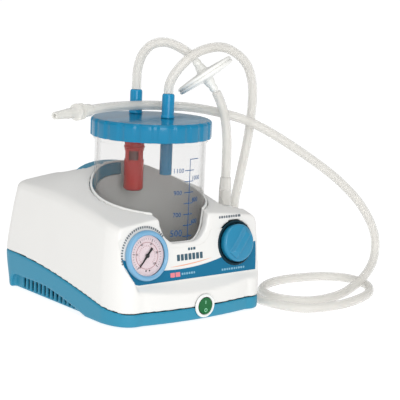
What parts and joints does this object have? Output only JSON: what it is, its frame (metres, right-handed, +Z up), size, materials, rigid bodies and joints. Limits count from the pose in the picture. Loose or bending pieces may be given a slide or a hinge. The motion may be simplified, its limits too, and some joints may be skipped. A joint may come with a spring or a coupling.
{
  "type": "suction pump",
  "caption": "Portable vacuum aspirator with a graduated collection jar, vacuum gauge, regulator knob, rocker switch, bacterial filter and suction hose.",
  "frame": {"origin": "under the middle of the housing, at the level of the rubber feet's underside", "axes": "+Z up; the control panel faces -Y; +X to the right seen from the front"},
  "size_m": [0.4038, 0.2623, 0.2693],
  "materials": {
    "shell_white": "satin",
    "base_blue": "satin",
    "well_grey": "matt",
    "label_film": "printed film",
    "bezel_blue": "gloss",
    "dial_card": "printed card",
    "lens_clear": "clear",
    "black_plastic": "matt",
    "pocket_dark": "matt",
    "knob_blue": "satin",
    "rocker_green": "gloss",
    "steel": "zinc plated",
    "brass": "turned",
    "pump_metal": "cast",
    "rubber_black": "matt",
    "jar_clear": "clear",
    "lid_blue": "gloss",
    "port_blue": "gloss",
    "cage_red": "clear tinted",
    "float_white": "matt",
    "silicone": "translucent",
    "filter_white": "satin",
    "membrane": "felt"
  },
  "bodies": {
    "housing": {"top_cover": "shell_white", "base_tray": "base_blue", "jar_well": "well_grey", "front_label": "label_film", "carry_handle": "base_blue", "foot_1": "rubber_black", "foot_2": "rubber_black", "foot_3": "rubber_black", "foot_4": "rubber_black", "case_screw_1": "steel", "case_screw_2": "steel", "case_screw_3": "steel", "case_screw_4": "steel", "gauge_bezel": "bezel_blue", "gauge_case": "steel", "gauge_dial": "dial_card", "gauge_lens": "lens_clear", "bourdon_tube": "brass", "knob_collar": "pocket_dark", "regulator_valve": "brass", "switch_bezel": "shell_white", "switch_body": "black_plastic", "inlet_nozzle": "shell_white", "mains_inlet": "black_plastic", "motor_can": "steel", "motor_end_cap": "black_plastic", "motor_cradle": "black_plastic", "pump_case": "pump_metal", "pump_cylinder": "pump_metal", "pump_head": "pump_metal", "exhaust_silencer": "base_blue", "pump_tube": "silicone", "silencer_tube": "silicone", "gauge_tube": "silicone"},
    "needle": {"gauge_needle": "black_plastic"},
    "knob": {"regulator_knob": "knob_blue", "regulator_stem": "brass"},
    "rocker": {"switch_rocker": "rocker_green"},
    "rotor": {"motor_shaft": "steel", "cooling_fan": "black_plastic"},
    "piston": {"pump_piston": "well_grey"},
    "fuse": {"fuse_drawer": "black_plastic"},
    "lid_set": {"jar_lid": "lid_blue", "lid_seal": "silicone", "patient_port": "port_blue", "vacuum_port": "port_blue", "dip_pipe": "port_blue", "float_cage": "cage_red", "filter_shell_in": "filter_white", "filter_shell_out": "filter_white", "filter_membrane": "membrane", "link_hose_1": "silicone", "link_hose_2": "silicone", "hose_cuff": "silicone", "patient_hose": "silicone", "patient_connector": "filter_white"},
    "jar": {"jar": "jar_clear"},
    "float": {"float_ball": "float_white"}
  },
  "joints": [
    {"name": "needle_sweep", "type": "hinge", "parent": "housing", "child": "needle", "pos_m": [-0.0547, -0.09335, 0.0686], "axis": [0, -0.9899, 0.1414], "range_deg": [-270, 0]},
    {"name": "knob_turn", "type": "hinge", "parent": "housing", "child": "knob", "pos_m": [0.0576, -0.09312, 0.0702], "axis": [0, -0.9899, 0.1414], "range_deg": [-270, 0]},
    {"name": "rocker_tilt", "type": "hinge", "parent": "housing", "child": "rocker", "pos_m": [0.008, -0.1101, 0.0152], "axis": [1, 0, 0], "range_deg": [0, 10]},
    {"name": "motor_spin", "type": "hinge", "parent": "housing", "child": "rotor", "pos_m": [-0.03, 0.05685, 0.036], "axis": [1, 0, 0], "continuous": true},
    {"name": "piston_stroke", "type": "slide", "parent": "housing", "child": "piston", "axis": [0, 0, 1], "range_m": [-0.004, 0.004]},
    {"name": "fuse_pull", "type": "slide", "parent": "housing", "child": "fuse", "axis": [0, 1, 0], "range_m": [0, 0.014]},
    {"name": "jar_lift", "type": "slide", "parent": "housing", "child": "lid_set", "axis": [0, 0, 1], "range_m": [0, 0.125]},
    {"name": "jar_unscrew", "type": "hinge", "parent": "lid_set", "child": "jar", "pos_m": [-0.004, -0.02765, 0.1], "axis": [0, 0, 1], "range_deg": [-90, 0]},
    {"name": "float_rise", "type": "slide", "parent": "lid_set", "child": "float", "axis": [0, 0, 1], "range_m": [0, 0.05]}
  ]
}
